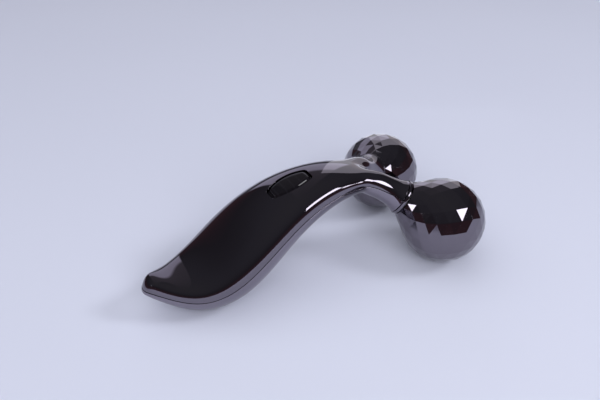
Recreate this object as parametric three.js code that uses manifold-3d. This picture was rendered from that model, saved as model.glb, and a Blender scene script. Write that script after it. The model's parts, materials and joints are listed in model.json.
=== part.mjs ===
// Two-ball facial roller with a solar window: a curved plated handle that forks into two arms,
// each carrying a free-spinning faceted ball on a fixed axle.
// Millimetres. +X runs from the handle's tip to the balls, +Z is up, and the roller lies on its
// belly and its two balls. The origin is under the middle of the whole roller.
import * as THREE from 'three';
import { mergeVertices } from 'three/addons/utils/BufferGeometryUtils.js';
import Module from 'manifold-3d';

const DEG = Math.PI / 180;
const GAP = 0.3; // clearance between fixed neighbours

// Balls and axles. Every axial place is measured from the ball's centre, outwards from the arm.
const BALL_RADIUS = 20;
const BALL_CENTRE = new THREE.Vector3(59, 25.8, BALL_RADIUS); // left ball; the right one mirrors it
const AXLE_SPLAY = 36.5 * DEG; // between an axle and the handle's middle plane
const AXLE_DIP = 29 * DEG; // how far an axle slopes down towards its ball
const AXLE_RADIUS = 2;
const AXLE_START = -39.7;
const AXLE_END = 5;
const ARM_END = -24;
const COLLAR_RADIUS = 8.5;
const COLLAR_WIDTH = 1.4;
const COLLAR_BORE = 4.5;
const WASHER_RADIUS = 4.2;
const RIM_RADIUS = 8.3;
const RIM_START = -21.7;
const HUB_RADIUS = 6.1;
const HUB_START = -21.4;
const HUB_END = 6.5;
const HUB_MOUTH = 5.2; // counterbore that clears the retaining clip
const HUB_WAIST = 3; // bore between the two bushes
const CLIP_START = 2.6;
const CLIP_THICKNESS = 0.8;
const BUSH_RADIUS = 3.8;
const BUSH_LENGTH = 4.8;
const BALL_HOLLOW = 17; // radius of the hollow inside a ball
const FACETS = 18; // corners in one row round a ball
const FACET_PITCH = 13.1 * DEG; // latitude from one row to the next
const NECK_LATITUDE = -37.5 * DEG; // where the ball turns into the cone of its neck
const FACET_PHASE = 0.055; // turn of the ball at rest, in facets

// Handle. Each station is a ring square to the handle's curve: seam height z, half width,
// crown above the seam and keel below it.
const STATIONS = [
  { x: -77.5, z: 15.7, half: 5.0, crown: 5.7, keel: 3.0 },
  { x: -70, z: 12.7, half: 10.0, crown: 5.9, keel: 5.9 },
  { x: -60, z: 11.0, half: 16.6, crown: 6.4, keel: 11.8 },
  { x: -48, z: 14.8, half: 20.8, crown: 7.2, keel: 15.8 },
  { x: -36, z: 23.3, half: 22.0, crown: 8.1, keel: 15.4 },
  { x: -24, z: 31.4, half: 20.4, crown: 9.1, keel: 13.3 },
  { x: -12, z: 37.6, half: 17.7, crown: 9.5, keel: 11.7 },
  { x: 0, z: 41.1, half: 15.1, crown: 8.8, keel: 10.3 },
  { x: 12, z: 42.4, half: 12.7, crown: 7.4, keel: 8.3 },
  { x: 24, z: 40.8, half: 10.8, crown: 6.2, keel: 5.3 },
];
const CROWN_FULLNESS = [3.1, 2.2]; // superellipse exponent above the seam, at the tip and at the fork
const KEEL_FULLNESS = 2.2;
const TIP_BULGE = 2.5; // how far the tip's cap stands out past the first station
const WALL = 2.4;

// Fork: the saddle between the arms, from crown to keel in the middle plane, and the arms
const SADDLE = [
  { x: 28.5, z: 44.6 },
  { x: 32.0, z: 42.0 },
  { x: 34.0, z: 38.4 },
  { x: 32.0, z: 36.0 },
  { x: 28.5, z: 35.2 },
];
const SADDLE_FOOT = { x: 0.6, y: 1.9 }; // from the saddle's middle to the foot of each arm
const FORK_START = 10; // where the parting surface starts to follow the arms, and where it does
const FORK_END = 26;
const PARTING = { back: -90, front: 60, side: 40, top: 90, columns: 30, rows: 12 };
const FORK_HOLLOW = { reach: 6, drop: 1.4, narrowing: 0.9, flattening: 0.7 };
const ARM_ROOT = new THREE.Vector3(24, 4.6, 41.3);
const ARM_ROOT_PULL = new THREE.Vector3(6.2, 1.4, -1.1);
const ARM_END_PULL = 7;
const ARM_SHARES = [0.3, 0.5, 0.68, 0.84, 0.95, 1]; // where the arm's rings lie along its curve
const ROOT_LEAD = 2.8; // how far the first ring's inner side leads, so that the arms part cleanly
const ARM_NECK_RADIUS = 6.1;
const ARM_LIP_RADIUS = 8.3;
const ARM_FLARE = 7; // how late the arm swells to its lip
const ARM_TWIST = 20 * DEG; // how far the seam is turned up round the outside at the lip
const ARM_BORE = 3.8;
const ARM_BORE_START = -43;

// Solar window in the handle's crown. Its depths are measured from the crown in a tilted frame.
const WINDOW_CENTRE = new THREE.Vector3(-9.4, 0, 46.6);
const WINDOW_TILT = 19 * DEG;
const WINDOW_HALF_LENGTH = 10.2;
const WINDOW_END_HALF = 3.4;
const WINDOW_MID_HALF = 5.8;
const WINDOW_CORNER = 1.2;
const WINDOW_DEPTH = 2.0;
const GASKET_THICKNESS = 0.4;
const SEAT_DEPTH = 3.0;
const PAD_DEPTH = 4.2;
const LEDGE = 1.2;
const CELL_SIZE = [15.5, 8, 0.6];
const BOARD_SIZE = [24.6, 9, 1];
const STAKE_X = 10.4;
const STAKE_RADIUS = 0.8;
const STAKE_PROUD = 0.6; // how far a stake reaches past the board
const CONTACT = { width: 4, thickness: 0.5, drop: 7.2, back: -3, knee: 2.5, ankle: 5.5, toe: 8.5 };
const LEAD_RADIUS = 0.6;

// Ballast bar in the belly, in its own tilted frame, and the level yoke in the fork
const BALLAST_CENTRE = new THREE.Vector3(-37, 0, 18);
const BALLAST_TILT = 33 * DEG;
const BALLAST_SIZE = [30, 16, 8];
const BALLAST_SCREW_X = [-10, 10];
const YOKE_FLOOR = 38.4;
const YOKE_SIZE = [17, 11, 3.4];
const YOKE_BACK = 11;
const YOKE_SCREW_X = [13.5, 20];
const BOSS_RADIUS = 3.5;
const BOSS_START = -42;
const BOSS_END = -29;

// Screws of the ballast bar and the yoke
const SCREW_HEAD = { radius: 2.2, height: 1.4, rim: 0.84, slot: 0.6 };
const SCREW_RADIUS = 1.1;
const SCREW_BITE = 2.0; // length of thread in the post
const POST_RADIUS = 3;
const POST_LENGTH = 16; // long enough to run into the shell, which trims it

const PLATED = { color: 0x2b2830, roughness: 0.08, metalness: 1 };
const SMOKED = { color: 0x0a090c, roughness: 0.05, metalness: 0 };
const FOAM = { color: 0x1c1c1c, roughness: 0.9, metalness: 0 };
const SILICON = { color: 0x10142e, roughness: 0.3, metalness: 0.2 };
const LAMINATE = { color: 0x1d5a34, roughness: 0.6, metalness: 0 };
const INSULATION = { color: 0xa01818, roughness: 0.5, metalness: 0 };
const BRONZE = { color: 0xb08a4a, roughness: 0.35, metalness: 1 };
const ZINC = { color: 0x9a9da0, roughness: 0.5, metalness: 1 };
const STEEL = { color: 0xb8babd, roughness: 0.3, metalness: 1 };
const ACETAL = { color: 0xe6e4dc, roughness: 0.5, metalness: 0 };

const wasm = await Module();
wasm.setup();

// ---- solids ----

function solidOf(geometry) {
  const bare = geometry.index ? geometry.toNonIndexed() : geometry.clone();
  bare.deleteAttribute('normal');
  bare.deleteAttribute('uv');
  const merged = mergeVertices(bare, 1e-4);
  return new wasm.Manifold(new wasm.Mesh({
    numProp: 3,
    vertProperties: merged.attributes.position.array,
    triVerts: new Uint32Array(merged.index.array),
  }));
}

function geometryOf(solid) {
  const mesh = solid.getMesh();
  const geometry = new THREE.BufferGeometry();
  geometry.setAttribute('position', new THREE.BufferAttribute(mesh.vertProperties, 3));
  geometry.setIndex(new THREE.BufferAttribute(mesh.triVerts, 1));
  geometry.computeVertexNormals();
  return geometry;
}

function joined(solids) {
  return solids.reduce((whole, solid) => whole.add(solid));
}

// A body of revolution about Z. Profile points are [radius, height], anticlockwise in that plane.
function turned(profile, segments) {
  const points = profile.map(([radius, height]) => new THREE.Vector2(radius, height));
  return new THREE.LatheGeometry(points, segments).rotateX(90 * DEG);
}

function rod(radius, bottom, top, segments = 12) {
  return turned([[0, bottom], [radius, bottom], [radius, top], [0, top]], segments);
}

function sleeve(inner, outer, bottom, top, segments = 16) {
  const profile = [[inner, bottom], [outer, bottom], [outer, top], [inner, top], [inner, bottom]];
  return turned(profile, segments);
}

function block(size, centre) {
  return new THREE.BoxGeometry(...size).translate(...centre);
}

function prism(shape, bottom, top, curveSegments = 4) {
  const options = { depth: top - bottom, bevelEnabled: false, curveSegments };
  return new THREE.ExtrudeGeometry(shape, options).translate(0, 0, bottom);
}

function placed(geometry, frame) {
  return solidOf(geometry.clone().applyMatrix4(frame));
}

// ---- frames: handle to window, ballast bar and axle ----

function tiltedFrame(centre, tilt) {
  return new THREE.Matrix4().makeRotationY(-tilt).setPosition(centre);
}

function axleDirection(side) {
  const flat = Math.cos(AXLE_DIP);
  const across = side * flat * Math.sin(AXLE_SPLAY);
  return new THREE.Vector3(flat * Math.cos(AXLE_SPLAY), across, -Math.sin(AXLE_DIP));
}

// Z runs along the axle towards the ball and X is level
function axleFrame(side) {
  const along = axleDirection(side);
  const level = new THREE.Vector3(-along.y, along.x, 0).normalize();
  const upright = new THREE.Vector3().crossVectors(along, level);
  const centre = BALL_CENTRE.clone().setY(side * BALL_CENTRE.y);
  return new THREE.Matrix4().makeBasis(level, upright, along).setPosition(centre);
}

const WINDOW_FRAME = tiltedFrame(WINDOW_CENTRE, WINDOW_TILT);
const BALLAST_FRAME = tiltedFrame(BALLAST_CENTRE, BALLAST_TILT);

// ---- the handle's smooth surface ----
// A coarse cage of quads for the left half is mirrored, refined once by Catmull-Clark
// subdivision, and its corners are then moved onto the limit surface.

const RING_STEPS = 8; // columns from the keel's middle round to the crown's middle
const ARM_RING = 12;
const SEAM_COLUMN = RING_STEPS / 2;

// How far a control polygon stands outside the smooth curve that it draws
function ringGain(corners) {
  return 6 / (4 + 2 * Math.cos((2 * Math.PI) / corners));
}

function squircle(angle, fullness) {
  const [c, s] = [Math.cos(angle), Math.sin(angle)];
  const power = 2 / fullness;
  return [Math.sign(c) * Math.abs(c) ** power, Math.sign(s) * Math.abs(s) ** power];
}

function stationNormal(index) {
  const before = STATIONS[Math.max(index - 1, 0)];
  const after = STATIONS[Math.min(index + 1, STATIONS.length - 1)];
  return new THREE.Vector3(before.z - after.z, 0, after.x - before.x).normalize();
}

// One point of a station's ring. Angle -90 is the keel, 0 the left seam and 90 the crown.
function ringPoint(index, angle) {
  const { x, z, half, crown, keel } = STATIONS[index];
  const above = angle > 0;
  const crownFullness = THREE.MathUtils.lerp(...CROWN_FULLNESS, index / (STATIONS.length - 1));
  const [across, rise] = squircle(angle, above ? crownFullness : KEEL_FULLNESS);
  const gain = ringGain(2 * RING_STEPS);
  const point = new THREE.Vector3(x, half * gain * across, z);
  return point.addScaledVector(stationNormal(index), (above ? crown : keel) * gain * rise);
}

function armCurve() {
  const along = axleDirection(1);
  const end = BALL_CENTRE.clone().addScaledVector(along, ARM_END);
  const pulled = end.clone().addScaledVector(along, -ARM_END_PULL);
  return new THREE.CubicBezierCurve3(ARM_ROOT, ARM_ROOT.clone().add(ARM_ROOT_PULL), pulled, end);
}

function armTwist(share) {
  return ARM_TWIST * Math.sqrt(share);
}

// An arm's ring, from its underside round the outside to its inner side
function armRing(curve, share) {
  const centre = curve.getPoint(share);
  const tangent = curve.getTangent(share);
  const flare = (ARM_LIP_RADIUS - ARM_NECK_RADIUS) * share ** ARM_FLARE;
  const radius = (ARM_NECK_RADIUS + flare) * ringGain(ARM_RING);
  const outward = new THREE.Vector3(-Math.sin(AXLE_SPLAY), Math.cos(AXLE_SPLAY), 0);
  const upward = new THREE.Vector3().crossVectors(tangent, outward).normalize();
  return Array.from({ length: ARM_RING }, (_, corner) => {
    const angle = -90 * DEG + (corner * 2 * Math.PI) / ARM_RING + armTwist(share);
    const inward = share === ARM_SHARES[0] ? Math.max(-Math.cos(angle), 0) : 0;
    return centre.clone()
      .addScaledVector(outward, radius * Math.cos(angle))
      .addScaledVector(upward, radius * Math.sin(angle))
      .addScaledVector(tangent, ROOT_LEAD * inward);
  });
}

class Cage {
  constructor() {
    this.points = [];
    this.quads = [];
    this.creases = new Set();
  }

  add(point) {
    return this.points.push(point) - 1;
  }

  // Quads between two rows of corners
  strip(row, next) {
    for (let i = 0; i + 1 < row.length; i++) {
      this.quads.push([row[i], row[i + 1], next[i + 1], next[i]]);
    }
  }
}

function edgeKey(a, b) {
  return a < b ? `${a},${b}` : `${b},${a}`;
}

function mean(points) {
  const sum = points.reduce((total, point) => total.add(point), new THREE.Vector3());
  return sum.divideScalar(points.length);
}

// Rounds off the tip with a grid inside the first ring. Its rows run from the middle plane out
// to the ring's side, and the middle one lies on the seam.
function capTip(cage, ring) {
  const rows = [ring.slice(0, 3)];
  const { crown, keel } = STATIONS[0];
  const seam = keel / (keel + crown);
  for (const [level, rise] of [[1, seam / 2], [2, seam], [3, (1 + seam) / 2]]) {
    const side = ring[level + 2];
    const middle = cage.points[ring[0]].clone().lerp(cage.points[ring[RING_STEPS]], rise);
    const between = middle.clone().lerp(cage.points[side], 0.5);
    middle.x -= TIP_BULGE;
    between.x -= TIP_BULGE * 0.8;
    rows.push([cage.add(middle), cage.add(between), side]);
  }
  rows.push(ring.slice(-3).reverse());
  for (let level = 0; level < 4; level++) {
    cage.strip(rows[level + 1], rows[level]);
  }
}

// Closes an arm's flat end with six quads round its centre, inside a creased ring
function capArm(cage, ring) {
  const centre = cage.add(mean(ring.map((index) => cage.points[index])));
  for (let corner = 0; corner < ARM_RING; corner++) {
    const next = ring[(corner + 1) % ARM_RING];
    cage.creases.add(edgeKey(ring[corner], next));
    if (corner % 2) {
      cage.quads.push([centre, ring[corner], next, ring[(corner + 2) % ARM_RING]]);
    }
  }
}

// The left half: body rings, the tip's cap, half of the saddle and the left arm
function leftHalf() {
  const cage = new Cage();
  const rings = STATIONS.map((_, index) => Array.from({ length: RING_STEPS + 1 }, (_, column) => {
    const angle = (column / RING_STEPS - 0.5) * 180 * DEG;
    const point = ringPoint(index, angle);
    return cage.add(column % RING_STEPS ? point : point.setY(0));
  }));
  capTip(cage, rings[0]);
  for (let i = 0; i + 1 < rings.length; i++) {
    cage.strip(rings[i], rings[i + 1]);
  }
  const last = rings[rings.length - 1];
  const saddle = SADDLE.map(({ x, z }) => [
    cage.add(new THREE.Vector3(x, 0, z)),
    cage.add(new THREE.Vector3(x + SADDLE_FOOT.x, SADDLE_FOOT.y, z)),
  ]);
  const band = [[last[8], last[7]], ...saddle, [last[0], last[1]]];
  for (let row = 0; row + 1 < band.length; row++) {
    cage.strip(band[row + 1], band[row]);
  }
  const root = [...last.slice(1, RING_STEPS), ...saddle.map(([, foot]) => foot)];
  const curve = armCurve();
  const arm = [root, ...ARM_SHARES.map((share) => armRing(curve, share).map((p) => cage.add(p)))];
  for (let i = 0; i + 1 < arm.length; i++) {
    cage.strip([...arm[i], arm[i][0]], [...arm[i + 1], arm[i + 1][0]]);
  }
  capArm(cage, arm[arm.length - 1]);
  return { cage, rings };
}

// Adds the right half, sharing the corners that lie in the middle plane
function mirrored(half) {
  const twin = half.points.map((point, index) => {
    return point.y === 0 ? index : half.add(point.clone().setY(-point.y));
  });
  half.quads.push(...half.quads.map((quad) => quad.map((index) => twin[index]).reverse()));
  for (const key of [...half.creases]) {
    const [a, b] = key.split(',').map((index) => twin[index]);
    half.creases.add(edgeKey(a, b));
  }
  return half;
}

// Each corner's quads, its neighbours along edges and those across its creases
function neighbourhoods(cage) {
  const around = cage.points.map(() => ({ quads: [], near: new Set(), creased: [] }));
  cage.quads.forEach((quad, face) => quad.forEach((index, corner) => {
    around[index].quads.push(face);
    around[index].near.add(quad[(corner + 1) % 4]).add(quad[(corner + 3) % 4]);
  }));
  for (const key of cage.creases) {
    const [a, b] = key.split(',').map(Number);
    around[a].creased.push(b);
    around[b].creased.push(a);
  }
  return around;
}

function refined(cage) {
  const fine = new Cage();
  const at = (index) => cage.points[index];
  const faces = cage.quads.map((quad) => mean(quad.map(at)));
  const edges = new Map();
  cage.quads.forEach((quad, face) => quad.forEach((index, corner) => {
    const next = quad[(corner + 1) % 4];
    const key = edgeKey(index, next);
    const edge = edges.get(key) ?? { ends: [index, next], faces: [] };
    edge.faces.push(faces[face]);
    edges.set(key, edge);
  }));
  neighbourhoods(cage).forEach(({ quads, near, creased }, index) => {
    const count = quads.length;
    if (creased.length) {
      fine.add(mean([...creased.map(at), ...Array(6).fill(at(index))]));
    } else {
      const faceMean = mean(quads.map((face) => faces[face]));
      const edgeMean = mean([...near].map((other) => at(index).clone().lerp(at(other), 0.5)));
      const own = at(index).clone().multiplyScalar(count - 3);
      fine.add(faceMean.addScaledVector(edgeMean, 2).add(own).divideScalar(count));
    }
  });
  const faceIndex = faces.map((point) => fine.add(point));
  const edgeIndex = new Map();
  for (const [key, edge] of edges) {
    const sharp = cage.creases.has(key);
    const middle = fine.add(mean([...edge.ends.map(at), ...(sharp ? [] : edge.faces)]));
    edgeIndex.set(key, middle);
    if (sharp) {
      edge.ends.forEach((end) => fine.creases.add(edgeKey(end, middle)));
    }
  }
  cage.quads.forEach((quad, face) => quad.forEach((index, corner) => {
    const ahead = edgeIndex.get(edgeKey(index, quad[(corner + 1) % 4]));
    const behind = edgeIndex.get(edgeKey(index, quad[(corner + 3) % 4]));
    fine.quads.push([index, ahead, faceIndex[face], behind]);
  }));
  return fine;
}

// Where each corner ends up after endless refining
function limitPoints(cage) {
  const at = (index) => cage.points[index];
  return neighbourhoods(cage).map(({ quads, near, creased }, index) => {
    if (creased.length) {
      return mean([...creased.map(at), ...Array(4).fill(at(index))]);
    }
    const count = quads.length;
    const total = at(index).clone().multiplyScalar(count * count);
    near.forEach((other) => total.addScaledVector(at(other), 4));
    quads.forEach((face) => {
      const quad = cage.quads[face];
      total.add(at(quad[(quad.indexOf(index) + 2) % 4]));
    });
    return total.divideScalar(count * (count + 5));
  });
}

function surfaceOf(points, polygons) {
  const geometry = new THREE.BufferGeometry().setFromPoints(points);
  const triangles = polygons.flatMap(([a, ...rest]) => {
    return rest.slice(1).flatMap((corner, i) => [a, rest[i], corner]);
  });
  geometry.setIndex(triangles);
  return geometry;
}

// ---- the handle's shells ----

// The inside of the body: its rings pulled in by the wall, with flat ends
function hollowOf(rings, limits) {
  const points = [];
  const polygons = [];
  const loops = rings.slice(1).map((ring) => {
    const [keel, seam, crown] = [ring[0], ring[SEAM_COLUMN], ring[RING_STEPS]].map((i) => limits[i]);
    const centre = seam.clone().setY(0);
    const upright = crown.clone().sub(keel).normalize();
    const pulled = ring.map((index) => {
      const offset = limits[index].clone().sub(centre);
      const rise = offset.dot(upright);
      const height = Math.abs((rise > 0 ? crown : keel).clone().sub(centre).dot(upright));
      offset.addScaledVector(upright, (-rise * WALL) / height);
      offset.y *= 1 - WALL / seam.y;
      return offset.add(centre);
    });
    const right = pulled.slice(1, -1).reverse().map((point) => point.clone().setY(-point.y));
    return [...pulled, ...right];
  });
  const { reach, drop, narrowing, flattening } = FORK_HOLLOW;
  const middle = STATIONS[STATIONS.length - 1].z;
  loops.push(loops[loops.length - 1].map(({ x, y, z }) => {
    return new THREE.Vector3(x + reach, y * narrowing, middle - drop + (z - middle) * flattening);
  }));
  const corners = loops.map((loop) => loop.map((point) => points.push(point) - 1));
  const count = 2 * RING_STEPS;
  for (let i = 0; i + 1 < corners.length; i++) {
    for (let j = 0; j < count; j++) {
      const next = (j + 1) % count;
      polygons.push([corners[i][j], corners[i][next], corners[i + 1][next], corners[i + 1][j]]);
    }
  }
  polygons.push([...corners[0]].reverse(), corners[corners.length - 1]);
  return solidOf(surfaceOf(points, polygons));
}

function interpolate(table, at) {
  const after = Math.max(1, table.findIndex(([x]) => x > at));
  const last = at >= table[table.length - 1][0] ? table.length - 1 : after;
  const [[x0, z0], [x1, z1]] = [table[last - 1], table[last]];
  return z0 + ((z1 - z0) * (at - x0)) / (x1 - x0);
}

// Height of the parting surface. Along the body it is level across the handle, and in the fork
// it follows each arm's middle line and rises towards the arm's outer side.
function seamHeight(seamLine) {
  const curve = armCurve();
  const [c, s] = [Math.cos(AXLE_SPLAY), Math.sin(AXLE_SPLAY)];
  const reach = (x, y) => x * c + Math.abs(y) * s;
  const across = (x, y) => Math.abs(y) * c - x * s;
  const steps = Array.from({ length: 13 }, (_, step) => step / 12);
  const line = steps.map((share) => ({ share, ...curve.getPoint(share) }));
  const middle = line.map(({ x, y, z }) => [reach(x, y), z]);
  const offset = line.map(({ x, y }) => [reach(x, y), across(x, y)]);
  const slope = line.map(({ x, y, share }) => [reach(x, y), Math.tan(armTwist(share))]);
  return (x, y) => {
    const along = reach(x, y);
    const side = THREE.MathUtils.clamp(
      across(x, y) - interpolate(offset, along), -ARM_LIP_RADIUS, ARM_LIP_RADIUS,
    );
    const arm = interpolate(middle, along) + side * Math.max(0, interpolate(slope, along));
    const share = THREE.MathUtils.smoothstep(x, FORK_START, FORK_END);
    return THREE.MathUtils.lerp(interpolate(seamLine, x), arm, share);
  };
}

// Everything above the parting surface, raised or lowered by lift
function aboveSeam(seamLine, lift) {
  const height = seamHeight(seamLine);
  const { back, front, side, top, columns, rows } = PARTING;
  const points = [];
  for (let i = 0; i <= columns; i++) {
    for (let j = 0; j <= rows; j++) {
      const x = THREE.MathUtils.lerp(back, front, i / columns);
      const y = THREE.MathUtils.lerp(-side, side, j / rows);
      points.push(new THREE.Vector3(x, y, height(x, y) + lift));
    }
  }
  const layer = points.length;
  points.push(...points.map((point) => point.clone().setZ(top)));
  const at = (i, j, level = 0) => i * (rows + 1) + j + level * layer;
  const polygons = [];
  for (let i = 0; i < columns; i++) {
    for (let j = 0; j < rows; j++) {
      polygons.push([at(i, j), at(i, j + 1), at(i + 1, j + 1), at(i + 1, j)]);
      polygons.push([at(i, j, 1), at(i + 1, j, 1), at(i + 1, j + 1, 1), at(i, j + 1, 1)]);
    }
    polygons.push([at(i, 0), at(i + 1, 0), at(i + 1, 0, 1), at(i, 0, 1)]);
    polygons.push([at(i, rows, 1), at(i + 1, rows, 1), at(i + 1, rows), at(i, rows)]);
  }
  for (let j = 0; j < rows; j++) {
    polygons.push([at(0, j, 1), at(0, j + 1, 1), at(0, j + 1), at(0, j)]);
    polygons.push([at(columns, j), at(columns, j + 1), at(columns, j + 1, 1), at(columns, j, 1)]);
  }
  return solidOf(surfaceOf(points, polygons));
}

// The window's outline: two bowed sides and two short straight ends, drawn inset by a margin
function boatShape(inset) {
  const bow = WINDOW_MID_HALF - WINDOW_END_HALF;
  const radius = (WINDOW_HALF_LENGTH ** 2 + bow ** 2) / (2 * bow) - inset;
  const end = WINDOW_HALF_LENGTH - inset;
  const offset = WINDOW_MID_HALF - inset - radius;
  const corner = offset + Math.sqrt(radius ** 2 - end ** 2);
  const sweep = Math.asin((end - WINDOW_CORNER) / radius);
  const shape = new THREE.Shape();
  shape.absarc(0, offset, radius, Math.PI / 2 - sweep, Math.PI / 2 + sweep, false);
  shape.quadraticCurveTo(-end, corner, -end, corner - WINDOW_CORNER);
  shape.lineTo(-end, WINDOW_CORNER - corner);
  shape.quadraticCurveTo(-end, -corner, -radius * Math.sin(sweep), -offset - radius * Math.cos(sweep));
  shape.absarc(0, -offset, radius, 1.5 * Math.PI - sweep, 1.5 * Math.PI + sweep, false);
  shape.quadraticCurveTo(end, -corner, end, WINDOW_CORNER - corner);
  shape.lineTo(end, corner - WINDOW_CORNER);
  shape.quadraticCurveTo(end, corner, radius * Math.sin(sweep), offset + radius * Math.cos(sweep));
  return shape;
}

function windowPrism(inset, bottom, top) {
  return placed(prism(boatShape(inset), bottom, top), WINDOW_FRAME);
}

function shells() {
  const { cage: half, rings } = leftHalf();
  const cage = mirrored(half);
  const limits = limitPoints(cage);
  const fine = refined(cage);
  const skin = solidOf(surfaceOf(limitPoints(fine), fine.quads));
  const bores = [1, -1].flatMap((side) => [
    placed(rod(ARM_BORE, ARM_BORE_START, ARM_END - WALL), axleFrame(side)),
    placed(rod(AXLE_RADIUS + GAP, ARM_END - WALL - 1, ARM_END + 1), axleFrame(side)),
  ]);
  const hollow = joined([hollowOf(rings, limits), ...bores]);
  const pad = windowPrism(-LEDGE, -PAD_DEPTH, 4).intersect(skin);
  const opening = windowPrism(0, -SEAT_DEPTH, 4).add(windowPrism(LEDGE, -PAD_DEPTH - 1, 4));
  const walls = skin.subtract(hollow).add(pad).subtract(opening);
  const seamLine = rings.map((ring) => limits[ring[SEAM_COLUMN]]).map((point) => [point.x, point.z]);
  return {
    upper: walls.intersect(aboveSeam(seamLine, GAP / 2)).add(heatStakes(STAKE_RADIUS)),
    lower: walls.subtract(aboveSeam(seamLine, -GAP / 2)).add(screwPosts().intersect(skin))
      .subtract(pilotHoles()),
    glass: skin.intersect(windowPrism(GAP, -WINDOW_DEPTH, 4)),
  };
}

// ---- screws and what they hold ----

// Where each screw stands: its frame, and the underside of what it clamps in that frame
function screwPlaces() {
  const floor = -BALLAST_SIZE[2] / 2;
  return {
    ballast: BALLAST_SCREW_X.map((x) => ({ x, frame: BALLAST_FRAME, floor, grip: BALLAST_SIZE[2] })),
    yoke: YOKE_SCREW_X.map((x) => ({
      x, frame: new THREE.Matrix4(), floor: YOKE_FLOOR, grip: YOKE_SIZE[2],
    })),
  };
}

function atScrews(shape) {
  const { ballast, yoke } = screwPlaces();
  return joined([...ballast, ...yoke].map((place) => {
    return placed(shape(place).translate(place.x, 0, 0), place.frame);
  }));
}

function screwPosts() {
  return atScrews(({ floor }) => rod(POST_RADIUS, floor - POST_LENGTH, floor - GAP));
}

function pilotHoles() {
  return atScrews(({ floor }) => rod(SCREW_RADIUS + GAP, floor - 2 * GAP - SCREW_BITE, floor));
}

function screwHoles() {
  return atScrews(({ floor, grip }) => rod(SCREW_RADIUS + GAP, floor - 1, floor + grip + 1));
}

function screw({ x, frame, floor, grip }) {
  const seat = floor + grip + GAP;
  const profile = [
    [0, floor - GAP - SCREW_BITE], [SCREW_RADIUS, floor - GAP - SCREW_BITE + 0.5],
    [SCREW_RADIUS, seat], [SCREW_HEAD.radius, seat],
    [SCREW_HEAD.radius, seat + SCREW_HEAD.rim], [0, seat + SCREW_HEAD.height],
  ];
  const top = seat + SCREW_HEAD.height;
  const slot = block([3 * SCREW_HEAD.radius, SCREW_HEAD.slot, SCREW_HEAD.height], [0, 0, top]);
  const solid = solidOf(turned(profile, 12)).subtract(solidOf(slot));
  return geometryOf(solid).translate(x, 0, 0).applyMatrix4(frame);
}

function ballastBar() {
  return geometryOf(placed(block(BALLAST_SIZE, [0, 0, 0]), BALLAST_FRAME).subtract(screwHoles()));
}

function axleYoke() {
  const [length, , height] = YOKE_SIZE;
  const centre = [YOKE_BACK + length / 2, 0, YOKE_FLOOR + height / 2];
  const bosses = [1, -1].map((side) => placed(rod(BOSS_RADIUS, BOSS_START, BOSS_END), axleFrame(side)));
  const sockets = [1, -1].map((side) => {
    return placed(rod(AXLE_RADIUS + GAP, AXLE_START - GAP, BOSS_END + 1), axleFrame(side));
  });
  const casting = joined([solidOf(block(YOKE_SIZE, centre)), ...bosses]);
  return geometryOf(casting.subtract(joined(sockets)).subtract(screwHoles()));
}

// ---- solar pack under the window ----

const BOARD_CENTRE = -PAD_DEPTH - 2 * GAP - CELL_SIZE[2] - BOARD_SIZE[2] / 2;

// Pegs from the window's ledge through the board
function heatStakes(radius) {
  const bottom = BOARD_CENTRE - BOARD_SIZE[2] / 2 - STAKE_PROUD;
  const top = -PAD_DEPTH + GAP;
  return joined([-STAKE_X, STAKE_X].map((x) => {
    return placed(rod(radius, bottom, top, 8).translate(x, 0, 0), WINDOW_FRAME);
  }));
}

function gasket() {
  const top = -WINDOW_DEPTH - GAP;
  const bottom = top - GASKET_THICKNESS;
  return geometryOf(windowPrism(GAP, bottom, top).subtract(windowPrism(LEDGE, bottom - 1, top + 1)));
}

function solarCell() {
  const centre = -PAD_DEPTH - GAP - CELL_SIZE[2] / 2;
  return block(CELL_SIZE, [0, 0, centre]).applyMatrix4(WINDOW_FRAME);
}

function circuitBoard() {
  const board = placed(block(BOARD_SIZE, [0, 0, BOARD_CENTRE]), WINDOW_FRAME);
  return geometryOf(board.subtract(heatStakes(STAKE_RADIUS + GAP)));
}

// A leaf spring from the board's underside down to the plated inside of the lower shell
function gripContact() {
  const { width, thickness, drop, back, knee, ankle, toe } = CONTACT;
  const top = BOARD_CENTRE - BOARD_SIZE[2] / 2 - GAP;
  const under = top - thickness;
  const sole = top - drop;
  const leaf = new THREE.Shape([
    new THREE.Vector2(back, under), new THREE.Vector2(knee, under),
    new THREE.Vector2(ankle, sole + thickness), new THREE.Vector2(toe, sole),
    new THREE.Vector2(toe, sole + thickness), new THREE.Vector2(ankle + thickness, sole + 2 * thickness),
    new THREE.Vector2(knee + thickness, top), new THREE.Vector2(back, top),
  ]);
  return prism(leaf, -width / 2, width / 2).rotateX(90 * DEG).applyMatrix4(WINDOW_FRAME);
}

// The lead from the board's end to the back of the yoke
function axleLead() {
  const route = new THREE.CatmullRomCurve3([
    new THREE.Vector3(-2, 2.5, 40.5),
    new THREE.Vector3(1, 3, 38.4),
    new THREE.Vector3(5, 2.5, 37.8),
    new THREE.Vector3(10.6, 2, 39.4),
  ]);
  const section = new THREE.Shape().absarc(0, 0, LEAD_RADIUS, 0, 2 * Math.PI);
  const options = { steps: 10, curveSegments: 3, bevelEnabled: false, extrudePath: route };
  return new THREE.ExtrudeGeometry(section, options);
}

// ---- balls, with Z along the axle ----

function facetRow(radius, height, count, phase) {
  return Array.from({ length: count }, (_, corner) => {
    const angle = ((corner + phase) * 2 * Math.PI) / count;
    return new THREE.Vector3(radius * Math.cos(angle), radius * Math.sin(angle), height);
  });
}

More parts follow.
